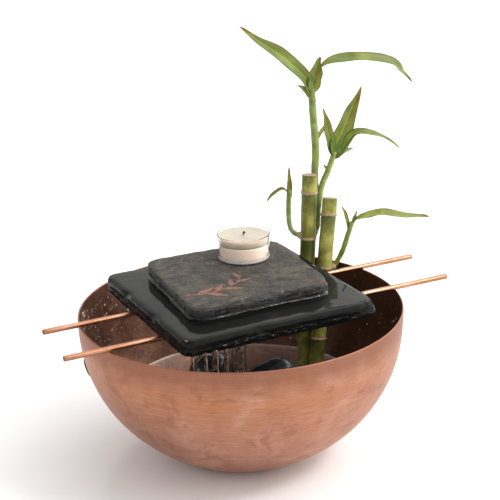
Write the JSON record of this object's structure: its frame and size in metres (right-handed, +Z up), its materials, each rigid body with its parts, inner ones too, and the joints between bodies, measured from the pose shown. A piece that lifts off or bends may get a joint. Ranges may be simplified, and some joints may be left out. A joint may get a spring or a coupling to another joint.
{
  "type": "tabletop water fountain",
  "caption": "Round copper bowl with a small pump, two slates stacked on copper rods across its rim, a tealight and living bamboo.",
  "frame": {"origin": "centre of the bowl's flat base, on the surface the bowl stands on", "axes": "+X along the copper rods, to the bamboo's side; +Y to the back; +Z up"},
  "size_m": [0.3158, 0.237, 0.309],
  "materials": {
    "copper_bowl": "spun copper, satin and brushed, dark patina inside",
    "copper_rod": "bright drawn copper tube",
    "grommet_rubber": "black moulded rubber",
    "wet_slate": "black riven slate, wet and glossy",
    "dry_slate": "grey-brown riven slate, matt",
    "clear_bumper": "clear soft bumper",
    "clear_cup": "clear moulded cup",
    "wax": "cream paraffin wax",
    "wick": "braided cotton wick, charred at the tip",
    "sustainer_metal": "thin pressed metal",
    "bamboo": "living green bamboo stalk, satin",
    "leaf": "living leaf and stem, satin",
    "pump_plastic": "black moulded plastic",
    "stator_steel": "laminated electrical steel",
    "resin": "black cast resin",
    "gland_rubber": "black rubber",
    "foot_rubber": "soft black rubber",
    "bush_rubber": "black rubber",
    "shaft_ceramic": "polished ceramic",
    "magnet": "moulded ferrite",
    "impeller_plastic": "natural moulded plastic",
    "dial_plastic": "black moulded plastic",
    "clear_hose": "clear flexible hose",
    "river_stone": "black polished river pebble"
  },
  "bodies": {
    "bowl_and_pump": {"bowl": "copper_bowl", "cord_grommet": "grommet_rubber", "pump_housing": "pump_plastic", "stator_core": "stator_steel", "potting_resin": "resin", "cable_gland": "gland_rubber", "suction_feet": "foot_rubber", "rear_bush": "bush_rubber", "front_bush": "bush_rubber", "rotor_shaft": "shaft_ceramic", "volute_cover": "pump_plastic", "outlet_nozzle": "pump_plastic", "riser_hose": "clear_hose", "river_stone_1": "river_stone", "river_stone_2": "river_stone", "river_stone_3": "river_stone", "river_stone_4": "river_stone", "river_stone_5": "river_stone", "river_stone_6": "river_stone", "river_stone_7": "river_stone", "river_stone_8": "river_stone"},
    "rod_front": {"rod_front": "copper_rod"},
    "rod_back": {"rod_back": "copper_rod"},
    "base_slate": {"base_slate": "wet_slate"},
    "top_slate": {"top_slate": "dry_slate", "slate_bumpers": "clear_bumper"},
    "candle": {"candle_cup": "clear_cup", "candle_wax": "wax", "candle_wick": "wick", "wick_sustainer": "sustainer_metal"},
    "bamboo_tall": {"bamboo_stalk_1": "bamboo", "shoot_tall": "leaf", "shoot_broad": "leaf", "shoot_side": "leaf"},
    "bamboo_short": {"bamboo_stalk_2": "bamboo", "shoot_low": "leaf"},
    "rotor": {"magnet_rotor": "magnet", "impeller": "impeller_plastic"},
    "strainer": {"strainer_cover": "pump_plastic"},
    "dial": {"flow_dial": "dial_plastic", "flow_gate": "dial_plastic"}
  },
  "joints": [
    {"name": "rod_front_slide", "type": "slide", "parent": "bowl_and_pump", "child": "rod_front", "axis": [1, 0, 0], "range_m": [-0.015, 0.015]},
    {"name": "rod_back_slide", "type": "slide", "parent": "bowl_and_pump", "child": "rod_back", "axis": [1, 0, 0], "range_m": [-0.015, 0.015]},
    {"name": "base_slate_lift", "type": "slide", "parent": "bowl_and_pump", "child": "base_slate", "axis": [0, 0, 1], "range_m": [0, 0.06]},
    {"name": "top_slate_lift", "type": "slide", "parent": "base_slate", "child": "top_slate", "axis": [0, 0, 1], "range_m": [0, 0.04]},
    {"name": "candle_lift", "type": "slide", "parent": "top_slate", "child": "candle", "axis": [0, 0, 1], "range_m": [0, 0.04]},
    {"name": "bamboo_tall_lift", "type": "slide", "parent": "bowl_and_pump", "child": "bamboo_tall", "axis": [0.0806, 0.0607, 0.9949], "range_m": [0, 0.08]},
    {"name": "bamboo_short_lift", "type": "slide", "parent": "bowl_and_pump", "child": "bamboo_short", "axis": [0.1685, 0.1078, 0.9798], "range_m": [0, 0.04]},
    {"name": "rotor_spin", "type": "hinge", "parent": "bowl_and_pump", "child": "rotor", "pos_m": [-0.004, -0.0025, 0.0212], "axis": [0, 1, 0], "continuous": true},
    {"name": "strainer_slide", "type": "slide", "parent": "bowl_and_pump", "child": "strainer", "axis": [0, -1, 0], "range_m": [0, 0.012]},
    {"name": "dial_turn", "type": "hinge", "parent": "strainer", "child": "dial", "pos_m": [-0.004, -0.0205, 0.0212], "axis": [0, 1, 0], "range_deg": [0, 80]}
  ]
}
